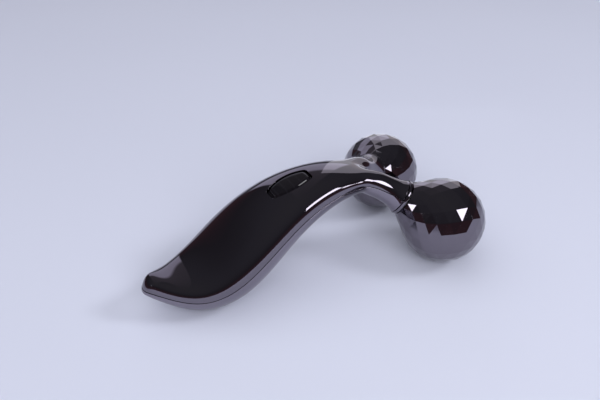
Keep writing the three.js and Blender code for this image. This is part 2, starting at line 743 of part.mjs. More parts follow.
// Rows of triangles from the neck's rim to the flat facet at the pole. Each row is turned half
// a facet from the one below it, and near the pole the rows have half as many corners.
function facetedBall() {
  const neck = [BALL_RADIUS * Math.cos(NECK_LATITUDE), BALL_RADIUS * Math.sin(NECK_LATITUDE)];
  const cone = [0, 1, 2].map((step) => [
    THREE.MathUtils.lerp(RIM_RADIUS, neck[0], step / 3),
    THREE.MathUtils.lerp(RIM_START, neck[1], step / 3),
  ]);
  const ball = Array.from({ length: 10 }, (_, row) => {
    const latitude = NECK_LATITUDE + row * FACET_PITCH;
    return [BALL_RADIUS * Math.cos(latitude), BALL_RADIUS * Math.sin(latitude)];
  });
  const fineRows = cone.length + ball.length - 2;
  let phase = FACET_PHASE;
  const rows = [...cone, ...ball].map(([radius, height], row) => {
    const coarse = row >= fineRows;
    phase = row === fineRows ? phase / 2 : phase;
    const corners = facetRow(radius, height, coarse ? FACETS / 2 : FACETS, phase);
    phase += 0.5;
    return corners;
  });
  const points = rows.flat();
  let start = 0;
  const indices = rows.map((row) => row.map(() => start++));
  const polygons = [[...indices[0]].reverse(), indices[indices.length - 1]];
  for (let row = 0; row + 1 < indices.length; row++) {
    const [low, high] = [indices[row], indices[row + 1]];
    const ratio = low.length / high.length;
    high.forEach((corner, i) => {
      const next = high[(i + 1) % high.length];
      const base = low.slice(i * ratio).concat(low).slice(0, ratio + 1);
      for (let step = 0; step < ratio; step++) {
        polygons.push([base[step], base[step + 1], corner]);
      }
      polygons.push([base[ratio], next, corner]);
    });
  }
  return surfaceOf(points, polygons);
}

function ballShell() {
  const bore = HUB_RADIUS + GAP;
  const mouth = Math.asin(bore / BALL_HOLLOW);
  const steps = 7;
  const wall = Array.from({ length: steps + 1 }, (_, step) => {
    const angle = THREE.MathUtils.lerp(Math.PI - mouth, 0, step / steps);
    return [BALL_HOLLOW * Math.sin(angle), BALL_HOLLOW * Math.cos(angle)];
  });
  wall[steps][0] = 0;
  const hollow = turned([[0, RIM_START - 1], [bore, RIM_START - 1], ...wall], 16);
  return geometryOf(solidOf(facetedBall()).subtract(solidOf(hollow)));
}

// The carrier that the ball snaps onto, with a seat for a bush at each end
function ballHub() {
  const bushSeat = BUSH_RADIUS + GAP;
  const step = BUSH_LENGTH + 2 * GAP;
  const latch = { start: -15.6, crest: -15.0, end: -12.5, radius: 7.2 };
  const outerSeat = CLIP_START - GAP - step;
  return turned([
    [bushSeat, HUB_START], [HUB_RADIUS, HUB_START], [HUB_RADIUS, latch.start],
    [latch.radius, latch.crest], [HUB_RADIUS, latch.end], [HUB_RADIUS, HUB_END],
    [HUB_MOUTH, HUB_END], [HUB_MOUTH, CLIP_START - GAP], [bushSeat, CLIP_START - GAP],
    [bushSeat, outerSeat], [HUB_WAIST, outerSeat], [HUB_WAIST, HUB_START + step],
    [bushSeat, HUB_START + step], [bushSeat, HUB_START],
  ], 16);
}

function axle() {
  const groove = { radius: 1.6, bottom: CLIP_START - GAP, top: CLIP_START + CLIP_THICKNESS + GAP };
  const edge = 0.4;
  return turned([
    [0, AXLE_START], [AXLE_RADIUS - edge, AXLE_START], [AXLE_RADIUS, AXLE_START + edge],
    [AXLE_RADIUS, groove.bottom], [groove.radius, groove.bottom],
    [groove.radius, groove.top], [AXLE_RADIUS, groove.top],
    [AXLE_RADIUS, AXLE_END - edge], [AXLE_RADIUS - edge, AXLE_END], [0, AXLE_END],
  ], 12);
}

function collar() {
  const [back, front, edge] = [ARM_END + GAP, ARM_END + GAP + COLLAR_WIDTH, 0.3];
  return turned([
    [COLLAR_BORE, back], [COLLAR_RADIUS - edge, back], [COLLAR_RADIUS, back + edge],
    [COLLAR_RADIUS, front - edge], [COLLAR_RADIUS - edge, front],
    [COLLAR_BORE, front], [COLLAR_BORE, back],
  ], 24);
}

// An open ring that springs into the axle's groove
function retainingClip() {
  const [inner, outer, opening] = [1.9, 4.3, 50 * DEG];
  const ring = new THREE.Shape();
  ring.absarc(0, 0, outer, opening, 2 * Math.PI - opening, false);
  ring.absarc(0, 0, inner, 2 * Math.PI - opening, opening, true);
  ring.closePath();
  return prism(ring, CLIP_START, CLIP_START + CLIP_THICKNESS, 8);
}

function bush(start) {
  return sleeve(AXLE_RADIUS + GAP, BUSH_RADIUS, start, start + BUSH_LENGTH);
}

// ---- assembly ----

const roller = new THREE.Group();

function mount(parent, name, geometry, finish) {
  const mesh = new THREE.Mesh(geometry, new THREE.MeshStandardMaterial(finish));
  mesh.name = name;
  parent.add(mesh);
}

const { upper, lower, glass } = shells();
mount(roller, 'upper_shell', geometryOf(upper), PLATED);
mount(roller, 'lower_shell', geometryOf(lower), PLATED);
mount(roller, 'solar_window', geometryOf(glass), SMOKED);
mount(roller, 'window_gasket', gasket(), FOAM);
mount(roller, 'solar_cell', solarCell(), SILICON);
mount(roller, 'circuit_board', circuitBoard(), LAMINATE);
mount(roller, 'grip_contact', gripContact(), BRONZE);
mount(roller, 'axle_lead', axleLead(), INSULATION);
mount(roller, 'ballast_bar', ballastBar(), STEEL);
mount(roller, 'axle_yoke', axleYoke(), ZINC);
for (const [name, places] of Object.entries(screwPlaces())) {
  places.forEach((place, i) => mount(roller, `${name}_screw_${i + 1}`, screw(place), STEEL));
}

for (const [name, side] of [['left', 1], ['right', -1]]) {
  const arm = new THREE.Group();
  arm.applyMatrix4(axleFrame(side));
  roller.add(arm);
  mount(arm, `${name}_axle`, axle(), STEEL);
  mount(arm, `${name}_neck_collar`, collar(), PLATED);
  const washerStart = ARM_END + GAP;
  const washer = sleeve(AXLE_RADIUS + GAP, WASHER_RADIUS, washerStart, HUB_START - GAP);
  mount(arm, `${name}_thrust_washer`, washer, ACETAL);
  mount(arm, `${name}_retaining_clip`, retainingClip(), STEEL);
  mount(arm, `${name}_ball_shell`, ballShell(), PLATED);
  mount(arm, `${name}_ball_hub`, ballHub(), ACETAL);
  mount(arm, `${name}_inner_bush`, bush(HUB_START + GAP), BRONZE);
  mount(arm, `${name}_outer_bush`, bush(CLIP_START - 2 * GAP - BUSH_LENGTH), BRONZE);
}

export default roller;
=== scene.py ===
"""Looks of the two-ball face roller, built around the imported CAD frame.

Formulas are in millimetres, as in the CAD, and meshes are in metres. +X runs from the handle's tip
to the balls, +Z is up and the roller lies on its belly and its two balls.
"""

import json
import math

import bmesh
import bpy
from mathutils import Matrix, Vector
from mathutils.bvhtree import BVHTree
from mathutils.interpolate import poly_3d_calc
from mathutils.kdtree import KDTree


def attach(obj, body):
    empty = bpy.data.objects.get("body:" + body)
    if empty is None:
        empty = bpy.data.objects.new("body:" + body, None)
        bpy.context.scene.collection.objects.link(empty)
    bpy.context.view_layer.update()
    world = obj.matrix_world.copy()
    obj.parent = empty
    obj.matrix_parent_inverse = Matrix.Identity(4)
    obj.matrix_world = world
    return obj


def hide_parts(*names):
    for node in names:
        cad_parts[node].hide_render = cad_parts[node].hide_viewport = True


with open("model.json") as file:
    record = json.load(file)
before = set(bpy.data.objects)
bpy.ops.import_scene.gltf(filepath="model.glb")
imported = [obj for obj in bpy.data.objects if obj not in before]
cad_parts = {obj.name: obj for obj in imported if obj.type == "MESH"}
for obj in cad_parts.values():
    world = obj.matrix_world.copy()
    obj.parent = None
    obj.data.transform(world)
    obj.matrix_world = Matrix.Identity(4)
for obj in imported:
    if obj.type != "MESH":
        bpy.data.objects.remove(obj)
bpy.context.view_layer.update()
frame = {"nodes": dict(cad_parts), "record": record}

MM = 0.001
DEG = math.radians(1)
GAP = 0.3  # between neighbouring pieces

# Balls and axles, as in the CAD. Axial places are measured from the ball's centre.
BALL_RADIUS = 20
BALL_CENTRE = Vector((59, 25.8, 20))
AXLE_SPLAY = 36.5 * DEG
AXLE_DIP = 29 * DEG
ARM_END = -24
COLLAR_RADIUS = 8.5
COLLAR_WIDTH = 1.4
COLLAR_BORE = 4.5
COLLAR_EDGE = 0.3
COLLAR_SEGMENTS = 72
RIM_RADIUS = 8.3
RIM_START = -21.7
HUB_RADIUS = 6.1
BALL_HOLLOW = 17
FACETS = 18
FACET_PITCH = 13.1 * DEG
NECK_LATITUDE = -37.5 * DEG
FACET_PHASE = 0.055
FACET_EDGE = 0.13
FACET_ROWS = 10
COARSE_ROWS = 2  # rows at the outer pole with half the facets
NECK_ROWS = 3
HOLLOW_ROWS = 8
BALL_CREASE = 35 * DEG
OUTER_FACE, INNER_FACE, BEVEL_FACE = 1, 2, 3

# Handle stations, as in the CAD: x, seam height, half width, crown above and keel below the seam
STATIONS = [
    (-77.5, 15.7, 5.0, 5.7, 3.0),
    (-70, 12.7, 10.0, 5.9, 5.9),
    (-60, 11.0, 16.6, 6.4, 11.8),
    (-48, 14.8, 20.8, 7.2, 15.8),
    (-36, 23.3, 22.0, 8.1, 15.4),
    (-24, 31.4, 20.4, 9.1, 13.3),
    (-12, 37.6, 17.7, 9.5, 11.7),
    (0, 41.1, 15.1, 8.8, 10.3),
    (12, 42.4, 12.7, 7.4, 8.3),
    (24, 40.8, 10.8, 6.2, 5.3),
]
CROWN_FULLNESS = (3.1, 2.2)  # at the tip and at the fork
KEEL_FULLNESS = 2.2
TIP_BULGE = 2.5
SADDLE = [(28.5, 44.6), (32.0, 42.0), (34.0, 38.4), (32.0, 36.0), (28.5, 35.2)]
SADDLE_FOOT = (0.6, 1.9)
ARM_ROOT = Vector((24, 4.6, 41.3))
ARM_ROOT_PULL = Vector((6.2, 1.4, -1.1))
ARM_END_PULL = 7
ARM_SHARES = [0.3, 0.5, 0.68, 0.84, 0.95, 1]
ROOT_LEAD = 2.8  # how far the first ring's inner side leads, so that the arms part cleanly
ARM_NECK_RADIUS = 6.1
ARM_LIP_RADIUS = 8.3
ARM_FLARE = 7
ARM_TWIST = 20 * DEG
RING_STEPS = 8
ARM_RING = 12
SMOOTH_LEVELS = 3

# Shells
WALL = 1.9
SEAM_GAP = 0.1  # from the seam's middle line to each shell's edge
SEAM_EDGE = 0.22  # radius of that edge
SEAM_SPREAD = 1.6  # how far from the seam the surface makes room for it

# Window, as in the CAD
WINDOW_CENTRE = Vector((-9.4, 0, 46.6))
WINDOW_TILT = 19 * DEG
WINDOW_HALF_LENGTH = 10.2
WINDOW_END_HALF = 3.4
WINDOW_MID_HALF = 5.8
WINDOW_CORNER = 1.2
WINDOW_EDGE = [(-0.5, -0.3), (-0.2, 0.0), (-0.08, 0.1), (-0.02, 0.22), (0, 0.4)]
GLASS_EDGE = [  # inset and depth, from the underside up to the crowned top
    (0.3, 2.0), (0.3, 1.05), (0.38, 0.95), (0.85, 0.9), (0.97, 0.86), (1.04, 0.78),
    (1.09, 0.62), (1.13, 0.55), (1.42, 0.13), (1.48, 0.06), (1.58, 0.0),
]
GLASS_THICKNESS = 2.0
WINDOW_FRAME = Matrix.Translation(WINDOW_CENTRE) @ Matrix.Rotation(-WINDOW_TILT, 4, "Y")


# ---- mesh helpers ----

def mesh_object(name, points, faces, matrix=None):
    """A mesh object from points in millimetres, moved by a matrix that is in millimetres too."""
    mesh = bpy.data.meshes.new(name)
    mesh.from_pydata([Vector(p) * MM for p in points], [], faces)
    if matrix is not None:
        shift = matrix.copy()
        shift.translation = matrix.translation * MM
        mesh.transform(shift)
    mesh.update()
    piece = bpy.data.objects.new(name, mesh)
    bpy.context.scene.collection.objects.link(piece)
    return piece


def soften(piece, angle=35):
    """Smooth shading, with the edges sharper than angle kept crisp."""
    bm = bmesh.new()
    bm.from_mesh(piece.data)
    for face in bm.faces:
        face.smooth = True
    for edge in bm.edges:
        edge.smooth = edge.is_manifold and edge.calc_face_angle(0) < angle * DEG
    bm.to_mesh(piece.data)
    bm.free()


def loft(rows):
    """Quads between closed rows of the same length, whose points follow one another."""
    count = len(rows[0])
    faces = []
    for row in range(len(rows) - 1):
        low, high = row * count, (row + 1) * count
        for i in range(count):
            j = (i + 1) % count
            faces.append((low + i, low + j, high + j, high + i))
    return faces


def lathe(name, profile, segments, matrix):
    """A closed ring turned about Z from a closed profile of (radius, height), anticlockwise."""
    rows = [
        [
            (radius * math.cos(turn), radius * math.sin(turn), height)
            for radius, height in profile
        ]
        for turn in (2 * math.pi * step / segments for step in range(segments))
    ]
    faces = loft(rows + [rows[0]])
    total = segments * len(profile)
    faces = [tuple(reversed([i % total for i in face])) for face in faces]
    return mesh_object(name, [p for row in rows for p in row], faces, matrix)


def rounded(corners, radius, steps=3):
    """A closed profile with each corner rounded to a radius."""
    points = []
    for i, corner in enumerate(corners):
        corner = Vector(corner)
        back = (Vector(corners[i - 1]) - corner).normalized() * radius
        ahead = (Vector(corners[(i + 1) % len(corners)]) - corner).normalized() * radius
        for step in range(steps + 1):
            t = step / steps
            points.append(corner + back * (1 - t) ** 2 + ahead * t ** 2)
    return points


# ---- axles ----

def axle_direction(side):
    flat = math.cos(AXLE_DIP)
    return Vector((
        flat * math.cos(AXLE_SPLAY), side * flat * math.sin(AXLE_SPLAY), -math.sin(AXLE_DIP),
    ))


def axle_frame(side):
    """Z along the axle towards the ball, X level."""
    along = axle_direction(side)
    level = Vector((-along.y, along.x, 0)).normalized()
    upright = along.cross(level)
    matrix = Matrix((level, upright, along)).transposed().to_4x4()
    matrix.translation = Vector((BALL_CENTRE.x, side * BALL_CENTRE.y, BALL_CENTRE.z))
    return matrix


# ---- the handle's smooth skin ----

def ring_gain(corners):
    return 6 / (4 + 2 * math.cos(2 * math.pi / corners))


def squircle(angle, fullness):
    c, s = math.cos(angle), math.sin(angle)
    power = 2 / fullness
    return math.copysign(abs(c) ** power, c), math.copysign(abs(s) ** power, s)


def ring_point(index, angle):
    x, z, half, crown, keel = STATIONS[index]
    before = STATIONS[max(index - 1, 0)]
    after = STATIONS[min(index + 1, len(STATIONS) - 1)]
    normal = Vector((before[1] - after[1], 0, after[0] - before[0])).normalized()
    above = angle > 0
    share = index / (len(STATIONS) - 1)
    fullness = CROWN_FULLNESS[0] * (1 - share) + CROWN_FULLNESS[1] * share
    across, rise = squircle(angle, fullness if above else KEEL_FULLNESS)
    gain = ring_gain(2 * RING_STEPS)
    return Vector((x, half * gain * across, z)) + normal * (crown if above else keel) * gain * rise


def bezier(points, t):
    a, b, c, d = points
    s = 1 - t
    place = a * s**3 + b * 3 * s * s * t + c * 3 * s * t * t + d * t**3
    tangent = (b - a) * s * s + (c - b) * 2 * s * t + (d - c) * t * t
    return place, tangent.normalized()


def arm_ring(share):
    along = axle_direction(1)
    end = BALL_CENTRE + along * ARM_END
    curve = (ARM_ROOT, ARM_ROOT + ARM_ROOT_PULL, end - along * ARM_END_PULL, end)
    centre, tangent = bezier(curve, share)
    flare = (ARM_LIP_RADIUS - ARM_NECK_RADIUS) * share**ARM_FLARE
    radius = (ARM_NECK_RADIUS + flare) * ring_gain(ARM_RING)
    outward = Vector((-math.sin(AXLE_SPLAY), math.cos(AXLE_SPLAY), 0))
    upward = tangent.cross(outward).normalized()
    turns = [
        -90 * DEG + corner * 2 * math.pi / ARM_RING + ARM_TWIST * math.sqrt(share)
        for corner in range(ARM_RING)
    ]
    lead = ROOT_LEAD if share == ARM_SHARES[0] else 0
    return [
        centre + outward * radius * math.cos(turn) + upward * radius * math.sin(turn)
        + tangent * lead * max(-math.cos(turn), 0)
        for turn in turns
    ]


class Cage:
    """Control points and quads, each quad marked as crown (True) or keel (False)."""

    def __init__(self):
        self.points = []
        self.quads = []

    def add(self, point):
        self.points.append(Vector(point))
        return len(self.points) - 1

    def strip(self, row, after, crowns):
        for i in range(len(row) - 1):
            quad = (row[i], row[i + 1], after[i + 1], after[i])
            self.quads.append((quad, crowns(i)))


def left_half():
    cage = Cage()
    rings = []
    for index in range(len(STATIONS)):
        ring = []
        for column in range(RING_STEPS + 1):
            point = ring_point(index, (column / RING_STEPS - 0.5) * math.pi)
            if column % RING_STEPS == 0:
                point.y = 0
            ring.append(cage.add(point))
        rings.append(ring)

    first = rings[0]
    crown, keel = STATIONS[0][3:]
    seam = keel / (keel + crown)
    rows = [first[:3]]
    for level, rise in ((1, seam / 2), (2, seam), (3, (1 + seam) / 2)):
        middle = cage.points[first[0]].lerp(cage.points[first[RING_STEPS]], rise)
        between = middle.lerp(cage.points[first[level + 2]], 0.5)
        middle.x -= TIP_BULGE
        between.x -= TIP_BULGE * 0.8
        rows.append([cage.add(middle), cage.add(between), first[level + 2]])
    rows.append(first[:-4:-1])
    for level in range(4):
        cage.strip(rows[level + 1], rows[level], lambda i, level=level: level > 1)

    seam_column = RING_STEPS // 2
    for ring, after in zip(rings, rings[1:]):
        cage.strip(ring, after, lambda i: i >= seam_column)

    last = rings[-1]
    saddle = [
        (cage.add((x, 0, z)), cage.add((x + SADDLE_FOOT[0], SADDLE_FOOT[1], z)))
        for x, z in SADDLE
    ]
    band = [(last[8], last[7]), *saddle, (last[0], last[1])]
    for row in range(len(band) - 1):
        cage.strip(band[row + 1], band[row], lambda i, row=row: row < 3)

    arm = [last[1:RING_STEPS] + [foot for _, foot in saddle]]
    for share in ARM_SHARES:
        arm.append([cage.add(point) for point in arm_ring(share)])
    for ring, after in zip(arm, arm[1:]):
        cage.strip(ring + ring[:1], after + after[:1], lambda i: 3 <= i < 9)
    return cage


def mirror(half):
    """Adds the right half, sharing the points in the middle plane."""
    twin = {}
    for index, point in enumerate(list(half.points)):
        twin[index] = index if point.y == 0 else half.add((point.x, -point.y, point.z))
    for quad, crown in list(half.quads):
        half.quads.append((tuple(reversed([twin[i] for i in quad])), crown))
    return half


def smooth_skin():
    """The limit surface of the cage: points, normals, quads and each quad's crown mark."""
    cage = mirror(left_half())
    piece = mesh_object("skin_cage", cage.points, [quad for quad, _ in cage.quads])
    for polygon, (_, crown) in zip(piece.data.polygons, cage.quads):
        polygon.material_index = int(crown)
        polygon.use_smooth = True
    modifier = piece.modifiers.new("smooth", "SUBSURF")
    modifier.levels = SMOOTH_LEVELS
    modifier.render_levels = SMOOTH_LEVELS
    modifier.use_limit_surface = True
    modifier.boundary_smooth = "ALL"
    graph = bpy.context.evaluated_depsgraph_get()
    fine = bpy.data.meshes.new_from_object(piece.evaluated_get(graph))
    points = [v.co / MM for v in fine.vertices]
    normals = [v.normal.copy() for v in fine.vertices]
    quads = [tuple(p.vertices) for p in fine.polygons]
    crowns = [bool(p.material_index) for p in fine.polygons]
    old = piece.data
    bpy.data.objects.remove(piece)
    bpy.data.meshes.remove(old)
    bpy.data.meshes.remove(fine)
    return points, normals, quads, crowns


class Skin:
    """Looks up heights and normals on the skin."""

    def __init__(self, points, normals, quads):
        self.points, self.normals, self.quads = points, normals, quads
        self.tree = BVHTree.FromPolygons(points, quads)

    def normal(self, place):
        spot, _, index, distance = self.tree.find_nearest(place)
        quad = self.quads[index]
        weights = poly_3d_calc([self.points[i] for i in quad], spot)
        total = Vector()
        for i, weight in zip(quad, weights):
            total += self.normals[i] * weight
        return total.normalized(), distance

    def height(self, u, v):
        """Height of the crown over a point of the window's plane."""
        high = WINDOW_FRAME @ Vector((u, v, 20))
        down = WINDOW_FRAME.to_3x3() @ Vector((0, 0, -1))
        spot = self.tree.ray_cast(high, down)[0]
        return (WINDOW_FRAME.inverted() @ spot).z


def rim_tangents(points, normals, faces):
    """The open edge's points in order of their faces, each with its direction into the surface."""
    directed = {(a, b) for face in faces for a, b in zip(face, face[1:] + face[:1])}
    after = {a: b for a, b in directed if (b, a) not in directed}
    before = {b: a for a, b in after.items()}
    tangents = {}
    for here, ahead in after.items():
        into = []
        for a, b in ((before[here], here), (here, ahead)):
            into.append(normals[here].cross(points[b] - points[a]).normalized())
        middle = (into[0] + into[1]).normalized()
        tangents[here] = middle / max(middle.dot(into[0]), 0.6)
    return after, tangents


def shell(name, skin, faces):
    """A closed shell of even wall from a part of the skin, with a rounded edge all round."""
    used = sorted({i for face in faces for i in face})
    local = {old: new for new, old in enumerate(used)}
    points = [skin.points[i] for i in used]
    normals = [skin.normals[i] for i in used]
    faces = [tuple(local[i] for i in face) for face in faces]
    after, tangents = rim_tangents(points, normals, faces)

    tree = KDTree(len(after))
    for i in after:
        tree.insert(points[i], i)
    tree.balance()
    room = SEAM_GAP + SEAM_EDGE
    outer = []
    for i, point in enumerate(points):
        spot, _, distance = tree.find(point)
        if i in tangents:
            outer.append(point + tangents[i] * room)
        elif distance < SEAM_SPREAD:
            away = (point - spot).normalized()
            outer.append(point + away * room * (1 - distance / SEAM_SPREAD))
        else:
            outer.append(point)

    rim = list(after)
    place = {old: new for new, old in enumerate(rim)}
    rows = [rim]
    vertices = list(outer)
    for step in (30 * DEG, 60 * DEG, 90 * DEG):
        row = []
        for i in rim:
            across = SEAM_GAP + SEAM_EDGE * (1 - math.sin(step))
            depth = SEAM_EDGE * (1 - math.cos(step))
            vertices.append(points[i] + tangents[i] * across - normals[i] * depth)
            row.append(len(vertices) - 1)
        rows.append(row)
    inner_start = len(vertices)
    for i, point in enumerate(outer):
        base = points[i] + tangents[i] * SEAM_GAP if i in tangents else point
        vertices.append(base - normals[i] * WALL)
    rows.append([inner_start + i for i in rim])

    polygons = list(faces)
    for low, high in zip(rows, rows[1:]):
        for a, b in after.items():
            i, j = place[a], place[b]
            polygons.append((low[j], low[i], high[i], high[j]))
    polygons += [tuple(inner_start + i for i in reversed(face)) for face in faces]
    return mesh_object(name, vertices, polygons)


def match_normals(piece, skin, reach=0.05):
    """Gives the outside of a cut shell the skin's own normals, so that the cut doesn't bend them."""
    mesh = piece.data
    places = [mesh.vertices[i].co / MM for i in range(len(mesh.vertices))]
    found = [skin.normal(place) for place in places]
    custom = [(0, 0, 0)] * len(mesh.loops)
    for polygon in mesh.polygons:
        corners = [found[i] for i in polygon.vertices]
        on_skin = all(distance < reach for _, distance in corners)
        if on_skin and polygon.normal.dot(corners[0][0]) > 0.9:
            for loop, (normal, _) in zip(polygon.loop_indices, corners):
                custom[loop] = tuple(normal)
    mesh.normals_split_custom_set(custom)


# ---- the window ----

def outline(inset, arc=20, corner_steps=6, end_steps=4):
    """The window's outline, inset by a margin, as points (u, v) from the left side's right end."""
    bow = WINDOW_MID_HALF - WINDOW_END_HALF
    radius = (WINDOW_HALF_LENGTH**2 + bow**2) / (2 * bow) - inset
    end = WINDOW_HALF_LENGTH - inset
    offset = WINDOW_MID_HALF - inset - radius
    corner = offset + math.sqrt(radius**2 - end**2)
    sweep = math.asin((end - WINDOW_CORNER) / radius)
    side = []
    for step in range(arc + 1):
        angle = math.pi / 2 + sweep * (2 * step / arc - 1)
        side.append((radius * math.cos(angle), offset + radius * math.sin(angle)))
    start, stop = side[-1], (-end, corner - WINDOW_CORNER)
    for step in range(1, corner_steps + 1):
        t = step / corner_steps
        u = start[0] * (1 - t) ** 2 - end * (2 * t * (1 - t) + t * t)
        v = start[1] * (1 - t) ** 2 + corner * 2 * t * (1 - t) + stop[1] * t * t
        side.append((u, v))
    for step in range(1, end_steps):
        side.append((-end, stop[1] * (1 - 2 * step / end_steps)))
    lower_corner = [(u, -v) for u, v in reversed(side[arc : arc + corner_steps + 1])]
    half = side + lower_corner[:-1]
    return half + [(-u, -v) for u, v in half]


def window_point(skin, u, v, depth):
    return WINDOW_FRAME @ Vector((u, v, skin.height(u, v) - depth))


def cut_window(piece, skin):
    """Cuts the window's opening into the upper shell, with a softly rounded edge."""
    rows = [[WINDOW_FRAME @ Vector((u, v, 6)) for u, v in outline(WINDOW_EDGE[0][0])]]
    for inset, depth in WINDOW_EDGE:
        rows.append([window_point(skin, u, v, depth) for u, v in outline(inset)])
    rows.append([WINDOW_FRAME @ Vector((u, v, -8)) for u, v in outline(0)])
    count = len(rows[0])
    faces = [tuple(reversed(face)) for face in loft(rows)]
    faces.append(tuple(range(count)))
    faces.append(tuple(reversed(range(count * (len(rows) - 1), count * len(rows)))))
    cutter = mesh_object("window_cutter", [p for row in rows for p in row], faces)
    modifier = piece.modifiers.new("window", "BOOLEAN")
    modifier.operation = "DIFFERENCE"
    modifier.solver = "EXACT"
    modifier.object = cutter
    apply_modifiers(piece)
    bpy.data.objects.remove(cutter)


def apply_modifiers(piece):
    graph = bpy.context.evaluated_depsgraph_get()
    mesh = bpy.data.meshes.new_from_object(piece.evaluated_get(graph))
    piece.modifiers.clear()
    old = piece.data
    piece.data = mesh
    mesh.name = piece.name
    bpy.data.meshes.remove(old)


def window_glass(skin):
    """The smoked window: a sunk rim, a bright chamfer and a crowned top."""
    rows = []
    for inset, depth in GLASS_EDGE:
        rows.append([window_point(skin, u, v, depth) for u, v in outline(inset)])
    inner = outline(GLASS_EDGE[-1][0])
    for scale in (0.93, 0.8, 0.62, 0.42, 0.2):
        rows.append([window_point(skin, u * scale, v * scale, 0) for u, v in inner])
    floor = outline(GLASS_EDGE[0][0])
    under = []
    for scale in (0.7, 0.35):
        under.append(
            [window_point(skin, u * scale, v * scale, GLASS_THICKNESS) for u, v in floor]
        )
    points = [p for row in rows for p in row]
    count = len(rows[0])
    faces = loft(rows)
    top = len(points)
    points.append(window_point(skin, 0, 0, 0))
    first = count * (len(rows) - 1)
    faces += [(first + i, first + (i + 1) % count, top) for i in range(count)]
    start = len(points)
    points += [p for row in under for p in row]
    chain = [0, start, start + count]
    for low, high in zip(chain, chain[1:]):
        for i in range(count):
            j = (i + 1) % count
            faces.append((low + j, low + i, high + i, high + j))
    bottom = len(points)
    points.append(window_point(skin, 0, 0, GLASS_THICKNESS))
    faces += [(chain[-1] + (i + 1) % count, chain[-1] + i, bottom) for i in range(count)]
    piece = mesh_object("window_glass", points, faces)
    soften(piece, 40)
    return piece


# ---- balls and collars ----

def faceted_ball(name, side):
    """A hollow faceted ball with a conical neck. Its facets meet in fine rounded edges.

    Marks tell the outer faces, the inner ones and the bevels apart until the normals are set:
    the outer facets stay flat up to their bevels.
    """
    neck = (BALL_RADIUS * math.cos(NECK_LATITUDE), BALL_RADIUS * math.sin(NECK_LATITUDE))
    rim = (RIM_RADIUS, RIM_START)
    profile = [
        tuple(a + (b - a) * step / NECK_ROWS for a, b in zip(rim, neck))
        for step in range(NECK_ROWS)
    ]
    for row in range(FACET_ROWS):
        latitude = NECK_LATITUDE + row * FACET_PITCH
        profile.append((BALL_RADIUS * math.cos(latitude), BALL_RADIUS * math.sin(latitude)))
    fine_rows = len(profile) - COARSE_ROWS
    points, rows = [], []
    phase = FACET_PHASE
    for row, (radius, height) in enumerate(profile):
        if row == fine_rows:
            phase /= 2
        count = FACETS // 2 if row >= fine_rows else FACETS
        rows.append([])
        for corner in range(count):
            angle = (corner + phase) * 2 * math.pi / count
            rows[-1].append(len(points))
            points.append((radius * math.cos(angle), radius * math.sin(angle), height))
        phase += 0.5
    faces = [tuple(rows[-1])]
    for low, high in zip(rows, rows[1:]):
        ratio = len(low) // len(high)
        for i, corner in enumerate(high):
            following = high[(i + 1) % len(high)]
            base = [low[(i * ratio + step) % len(low)] for step in range(ratio + 1)]
            for step in range(ratio):
                faces.append((base[step], base[step + 1], corner))
            faces.append((base[ratio], following, corner))
    outer_count = len(faces)

    bore = HUB_RADIUS + GAP
    mouth = math.pi - math.asin(bore / BALL_HOLLOW)
    hollow = [(bore, RIM_START)]
    for step in range(HOLLOW_ROWS):
        angle = mouth * (1 - step / HOLLOW_ROWS)
        hollow.append((BALL_HOLLOW * math.sin(angle), BALL_HOLLOW * math.cos(angle)))
    inside = [rows[0]]
    for radius, height in hollow:
        inside.append([])
        for corner in range(FACETS):
            angle = (corner + FACET_PHASE) * 2 * math.pi / FACETS
            inside[-1].append(len(points))
            points.append((radius * math.cos(angle), radius * math.sin(angle), height))
    pole = len(points)
    points.append((0, 0, BALL_HOLLOW))
    for low, high in zip(inside, inside[1:]):
        for i in range(FACETS):
            j = (i + 1) % FACETS
            faces.append((low[j], low[i], high[i], high[j]))
    last = inside[-1]
    faces += [(last[(i + 1) % FACETS], last[i], pole) for i in range(FACETS)]

    piece = mesh_object(name, points, faces, axle_frame(side))
    bm = bmesh.new()
    bm.from_mesh(piece.data)
    bm.faces.ensure_lookup_table()
    for index, face in enumerate(bm.faces):
        face.material_index = OUTER_FACE if index < outer_count else INNER_FACE
    edges = [
        e for e in bm.edges if any(f.material_index == OUTER_FACE for f in e.link_faces)
    ]
    bmesh.ops.bevel(
        bm, geom=edges, offset=FACET_EDGE * MM, offset_type="OFFSET", segments=1,
        profile=0.5, affect="EDGES", clamp_overlap=True, material=BEVEL_FACE,
    )
    bm.verts.index_update()
    normals = {}
    for face in bm.faces:
        face.smooth = True
        if face.material_index == OUTER_FACE:
            for vertex in face.verts:
                normals[vertex.index] = face.normal.copy()
    for edge in bm.edges:
        edge.smooth = edge.calc_face_angle(0) < BALL_CREASE
    for face in bm.faces:
        face.material_index = 0
    bm.to_mesh(piece.data)
    bm.free()
    custom = [tuple(normals.get(i, (0, 0, 0))) for i in range(len(piece.data.vertices))]
    piece.data.normals_split_custom_set_from_vertices(custom)
    return piece


def neck_collar(name, side):
    back = ARM_END + GAP
    front = back + COLLAR_WIDTH
    corners = [
        (COLLAR_BORE, back), (COLLAR_RADIUS, back), (COLLAR_RADIUS, front), (COLLAR_BORE, front),
    ]
    piece = lathe(name, rounded(corners, COLLAR_EDGE), COLLAR_SEGMENTS, axle_frame(side))
    soften(piece, 50)
    return piece


# ---- materials ----

